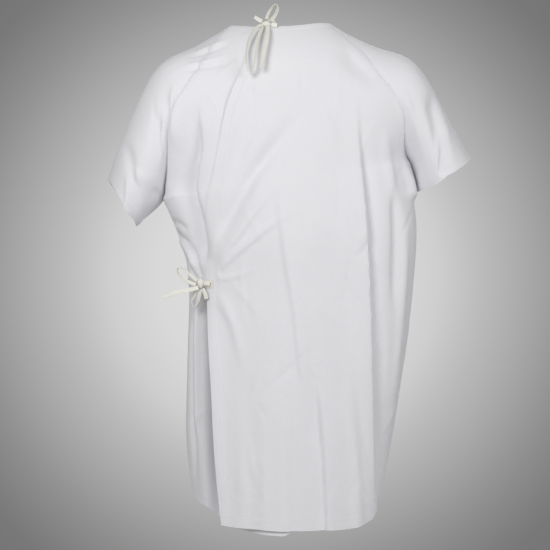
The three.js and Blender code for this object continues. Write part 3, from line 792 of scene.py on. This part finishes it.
# Where the cloth of the left sleeve is caught up, its hem ends short of station 4.
LEFT_HEM_KEYS = [(-180, 3.95), (-60, 3.95), (0, 3.93), (40, 3.90), (90, 3.92), (180, 3.95)]


def left_hem_reach(turns):
    places, reached = np.array(LEFT_HEM_KEYS).T
    return np.interp(np.degrees(turns), places, reached)


def make_sleeve(hand):
    """One sleeve."""
    sleeve, sleeve_area = make_cloth(
        hand + "_sleeve_cloth", SURFACES[hand + "_sleeve"], on_sleeve(hand),
        lambda s: raglan_turn("front", s), lambda s: raglan_turn("back", s),
        SLEEVE_HEM, SLEEVE_HEM_HEIGHT, SLEEVE_PACE, 0, cotton["sleeve"],
        [hand + "_sleeve_cap", hand + "_sleeve", hand + "_sleeve_hem"],
        left_hem_reach if hand == "left" else None,
    )
    shape = SLEEVES[hand]
    mirror = [shape["side"], 1, 1]
    cut = np.cross(np.array(shape["up"][3]) * mirror, np.array(shape["back"][3]) * mirror)
    cut = cut / np.linalg.norm(cut) * (1 if cut[2] < 0 else -1)
    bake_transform(sleeve)


make_sleeve("left")
make_sleeve("right")

# ---- seams, binding and patches ----
WELT_WIDTH, WELT_THICKNESS, WELT_LIFT = 9 * MM, 0.9 * MM, 0.7 * MM
BINDING_HEIGHT, BINDING_THICKNESS = 9.5 * MM, 2.6 * MM


def across(point_at, stations, angles, distance):
    """The angles at a distance over the surface from other angles, one for each station."""
    trial = angles[:, None] + math.copysign(1, distance) * np.linspace(0, 0.7, 141)
    points = point_at(stations[:, None], trial)
    steps = np.linalg.norm(np.diff(points, axis=1), axis=-1)
    reached = np.pad(np.cumsum(steps, axis=1), ((0, 0), (1, 0)))
    return np.array([np.interp(abs(distance), reach, row) for reach, row in zip(reached, trial)])


def pace_down(point_at, station, angle):
    """Metres travelled down the surface for each station."""
    small = 1e-3
    return np.linalg.norm(point_at(station + small, angle) - point_at(station, angle), axis=-1) / small


def lifted(points, lift):
    """A grid of points moved outwards, along its own normals."""
    normal = grid_normals(points)
    facing = np.sign(np.sum(normal * outward(points), axis=-1, keepdims=True))
    return points + normal * facing * lift


def side_of(surface, plain, angle_at, inward):
    """Points at a distance in from a seam, for the stations of a welt."""

    def beside(stations, distance):
        return surface(stations, across(plain, stations, angle_at(stations), inward * distance))

    return beside


def make_welt(name, node_name, first, second, top, bottom, body):
    """A stitched band over the seam where two surfaces meet; first and second come from side_of."""
    count = int((bottom - top) * BODY_PACE / STEP)
    stations = np.linspace(top, bottom, max(count, 12))
    insets = np.array([0.5, 0.42, 0.2]) * WELT_WIDTH
    columns = [first(stations, d) for d in insets]
    columns.append((first(stations, 0) + second(stations, 0)) / 2)
    columns += [second(stations, d) for d in insets[::-1]]
    points = lifted(np.stack(columns, axis=1), WELT_LIFT)
    obj = sheet_mesh(name, points, WELT_THICKNESS, cotton["seam"])
    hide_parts(node_name)
    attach(obj, body)


def make_seams():
    for hand, end, inward, back, plain_back in (
        ("left", LEFT_END, 1, SURFACES["inner"], on_inner_back),
        ("right", RIGHT_END, -1, SURFACES["outer"], on_back),
    ):
        sleeve, plain_sleeve = SURFACES[hand + "_sleeve"], on_sleeve(hand)
        body_back = side_of(back, plain_back, constant(end), inward)
        body_front = side_of(SURFACES["front"], on_front, constant(end), inward)
        for half, body_side, way in (("back", body_back, -1), ("front", body_front, 1)):
            on_turn = side_of(sleeve, plain_sleeve, lambda s, half=half: raglan_turn(half, s), way)
            name = f"{hand}_{half}_raglan_seam"
            make_welt(name + "_welt", name, body_side, on_turn, 0.1, 2.8, "gown")
        name = f"{hand}_side_seam"
        make_welt(name + "_welt", name, body_front, body_back, 3.12, HEM - 0.005, "gown")
        arm_back = side_of(sleeve, plain_sleeve, constant(math.pi), -1)
        arm_front = side_of(sleeve, plain_sleeve, constant(-math.pi), 1)
        name = f"{hand}_underarm_seam"
        make_welt(name + "_welt", name, arm_front, arm_back, 3.12, SLEEVE_HEM - 0.08, hand + "_arm")


def make_binding():
    """The folded band round the neck, whose two ends cross where the back wraps over."""
    runs = (
        ("outer", on_back, outer_edge(NECK), RIGHT_END, 40),
        ("right_sleeve", on_sleeve("right"), raglan_turn("back", NECK), raglan_turn("front", NECK), 12),
        ("front", on_front, RIGHT_END, LEFT_END, 72),
        ("left_sleeve", on_sleeve("left"), raglan_turn("front", NECK), raglan_turn("back", NECK), 12),
        ("inner", on_inner_back, LEFT_END, inner_edge(NECK), 32),
    )
    columns = []
    for name, plain, start, finish, steps in runs:
        angles = np.linspace(start, finish, steps + 1)[1 if columns else 0 :]
        pace = pace_down(plain, np.full(len(angles), 0.02), angles)
        shares = np.array([0, 0.12, 0.5, 0.88, 1])
        stations = shares[None] * BINDING_HEIGHT / pace[:, None]
        columns.append(SURFACES[name](stations, angles[:, None]))
    points = np.concatenate(columns)
    obj = sheet_mesh("neck_binding_band", points, BINDING_THICKNESS, cotton["binding"])
    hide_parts("neck_binding")
    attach(obj, "gown")


def patch_grid(point_at, name, count=9):
    """A grid over the part of a back surface that a CAD patch covers."""
    low, high = (np.array(c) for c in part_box(name))
    x, z = np.meshgrid(np.linspace(low[0], high[0], count), np.linspace(high[2], low[2], count))
    station = np.full(x.shape, SIDE_TIE)
    for _ in range(6):
        angle = angle_at_x(station, x)
        station = station + (point_at(station, angle)[..., 2] - z) / pace_down(point_at, station, angle)
    return station, angle_at_x(station, x)


PATCH_THICKNESS, PATCH_LIFT = 1.3 * MM, 2.2 * MM


def make_patches():
    for name, surface, plain in (
        ("outer_tie_patch", SURFACES["outer"], on_back),
        ("seam_tie_patch", SURFACES["inner"], on_inner_back),
    ):
        station, angle = patch_grid(plain, name)
        points = lifted(surface(station, angle), PATCH_LIFT)
        obj = sheet_mesh(name + "_square", points, PATCH_THICKNESS, tape_cotton)
        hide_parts(name)
        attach(obj, "gown")


def make_seam_tie():
    """The lead from the patch at the left side seam, over the inner panel, in behind the side knot."""
    start = angle_at_x(SIDE_TIE, np.array(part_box("side_tie_seam")[0][0] + 4 * MM))
    end = angle_at_x(SIDE_TIE, np.array(side_knot[0] - 14 * MM))
    angles = np.linspace(start, end, 14)
    surface = SURFACES["inner"]
    line = surface(np.full(14, SIDE_TIE), angles)
    line = line + outward(line) * 4.4 * MM
    line = np.vstack([line, side_knot + np.array([-5, 4, -2]) * MM])
    at = np.linspace(0, len(line) - 1, 60)
    middle = through(line, at)
    offsets = np.linspace(-0.5, 0.5, 5) * TAPE_WIDTH
    points = middle[:, None] + np.array([0, 0, 1])[None, None] * offsets[None, :, None]
    obj = sheet_mesh("side_tie_seam_tape", points, TAPE_THICKNESS, tape_cotton)
    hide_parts("side_tie_seam")
    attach(obj, "gown")


def make_knot(name, lean):
    """A tied knot: a tight lump with the strands' grooves in it, and one turn of tape round it."""
    low, high = (np.array(c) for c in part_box(name))
    middle, radii = (low + high) / 2, (high - low) / 2
    theta = np.linspace(0, math.pi, 25)[:, None]
    phi = np.linspace(0, 2 * math.pi, 49)[None]
    swell = 0.93 + 0.07 * np.cos(3 * phi + 4 * theta * lean) * np.sin(theta) ** 2
    ball = np.stack([swell * np.sin(theta) * np.cos(phi), swell * np.sin(theta) * np.sin(phi),
                     np.cos(theta) * np.ones_like(phi)], -1)
    vertices = [tuple(middle + ball[0, 0] * radii)]
    rings, around = ball[1:-1, :-1], 48
    vertices += [tuple(middle + v * radii) for v in rings.reshape(-1, 3)]
    vertices.append(tuple(middle + ball[-1, 0] * radii))
    faces = []
    for j in range(around):
        k = (j + 1) % around
        faces.append((0, 1 + j, 1 + k))
        for i in range(len(rings) - 1):
            a, b = 1 + i * around, 1 + (i + 1) * around
            faces.append((a + j, b + j, b + k, a + k))
        last = 1 + (len(rings) - 1) * around
        faces.append((last + k, last + j, len(vertices) - 1))
    mesh = bpy.data.meshes.new(name + "_core")
    mesh.from_pydata(vertices, [], faces)
    mesh.uv_layers.new(name="cloth")
    mesh.shade_smooth()
    mesh.materials.append(tape_cotton)
    core = bpy.data.objects.new(name + "_core", mesh)
    bpy.context.collection.objects.link(core)
    turn = np.linspace(0, 2 * math.pi, 41)
    ring = np.stack([0.2 * np.sin(turn) * lean, np.cos(turn), np.sin(turn)], -1)
    across = np.linspace(-0.27, 0.27, 5)
    width = np.array([1, 0, -0.3 * lean])
    band = middle + (ring[:, None] + width[None, None] * across[None, :, None]) * radii
    inward = (middle - band) * (0.12 * (2 * across) ** 2)[None, :, None]
    wrap = sheet_mesh(name + "_wrap", band + inward, TAPE_THICKNESS, tape_cotton)
    for obj in (core, wrap):
        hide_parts(name)
        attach(obj, "gown")


make_seams()
make_binding()
make_patches()
make_seam_tie()
make_knot("neck_knot", 1)
make_knot("side_knot", -1)

# ---- stage and light ----
FLOOR_HEIGHT, FLOOR_RADIUS = -1.45, 0.95


def make_floor():
    turns = np.linspace(0, 2 * math.pi, 97)[:-1]
    rim = [(FLOOR_RADIUS * math.cos(t), FLOOR_RADIUS * math.sin(t), FLOOR_HEIGHT) for t in turns]
    mesh = bpy.data.meshes.new("floor")
    mesh.from_pydata(rim, [], [tuple(range(len(rim)))])
    obj = bpy.data.objects.new("floor", mesh)
    bpy.context.collection.objects.link(obj)
    material = bpy.data.materials.new("pale_floor")
    material.use_nodes = True
    shader = material.node_tree.nodes["Principled BSDF"]
    shader.inputs["Base Color"].default_value = (0.62, 0.62, 0.62, 1)
    shader.inputs["Roughness"].default_value = 0.95
    mesh.materials.append(material)


# Brightness of the studio round the gown by the turn away from straight behind it, in degrees.
STUDIO = [
    (0, 0.74), (5, 0.69), (7, 0.62), (8.8, 0.5), (11, 0.385), (13, 0.28), (15.3, 0.19), (20, 0.15),
    (40, 0.17), (80, 0.32), (180, 0.44),
]
STRAIGHT_BEHIND = (0.016, 1, 0.004)


def make_world():
    world = bpy.data.worlds.new("studio")
    world.use_nodes = True
    tree = world.node_tree
    background = tree.nodes["Background"]
    way = node(tree, "ShaderNodeTexCoord").outputs["Generated"]
    behind = node(tree, "ShaderNodeVectorMath", {0: way, 1: STRAIGHT_BEHIND}, operation="DOT_PRODUCT")
    turn = maths(tree, "DIVIDE", maths(tree, "ARCCOSINE", behind.outputs["Value"]), math.pi)
    ramp = node(tree, "ShaderNodeValToRGB", {"Fac": turn}).color_ramp
    while len(ramp.elements) < len(STUDIO):
        ramp.elements.new(0.5)
    for element, (degrees, grey) in zip(ramp.elements, STUDIO):
        element.position = degrees / 180
        element.color = (grey, grey, grey, 1)
    tree.links.new(tree.nodes["Color Ramp"].outputs["Color"], background.inputs["Color"])
    bpy.context.scene.world = world


def area_light(name, place, aim, size, power):
    data = bpy.data.lights.new(name, "AREA")
    data.shape = "RECTANGLE"
    data.size, data.size_y = size
    data.energy = power
    add_light(name, data, place, aim)


def add_light(name, data, place, aim):
    obj = bpy.data.objects.new(name, data)
    obj.location = place
    obj.rotation_euler = (Vector(aim) - Vector(place)).to_track_quat("-Z", "Y").to_euler()
    obj.visible_camera = False
    bpy.context.collection.objects.link(obj)


make_floor()
make_world()
area_light("key_light", (-0.9, -1.9, 0.3), (0, 0, -0.3), (0.9, 0.9), 20)
area_light("fill_light", (1.8, -2.0, 0.2), (0, 0, -0.35), (1.2, 1.2), 19)
area_light("front_light", (0.7, 2.8, 0.5), (0, 0, -0.5), (1.8, 1.8), 45)
bpy.context.scene.view_settings.view_transform = "Standard"
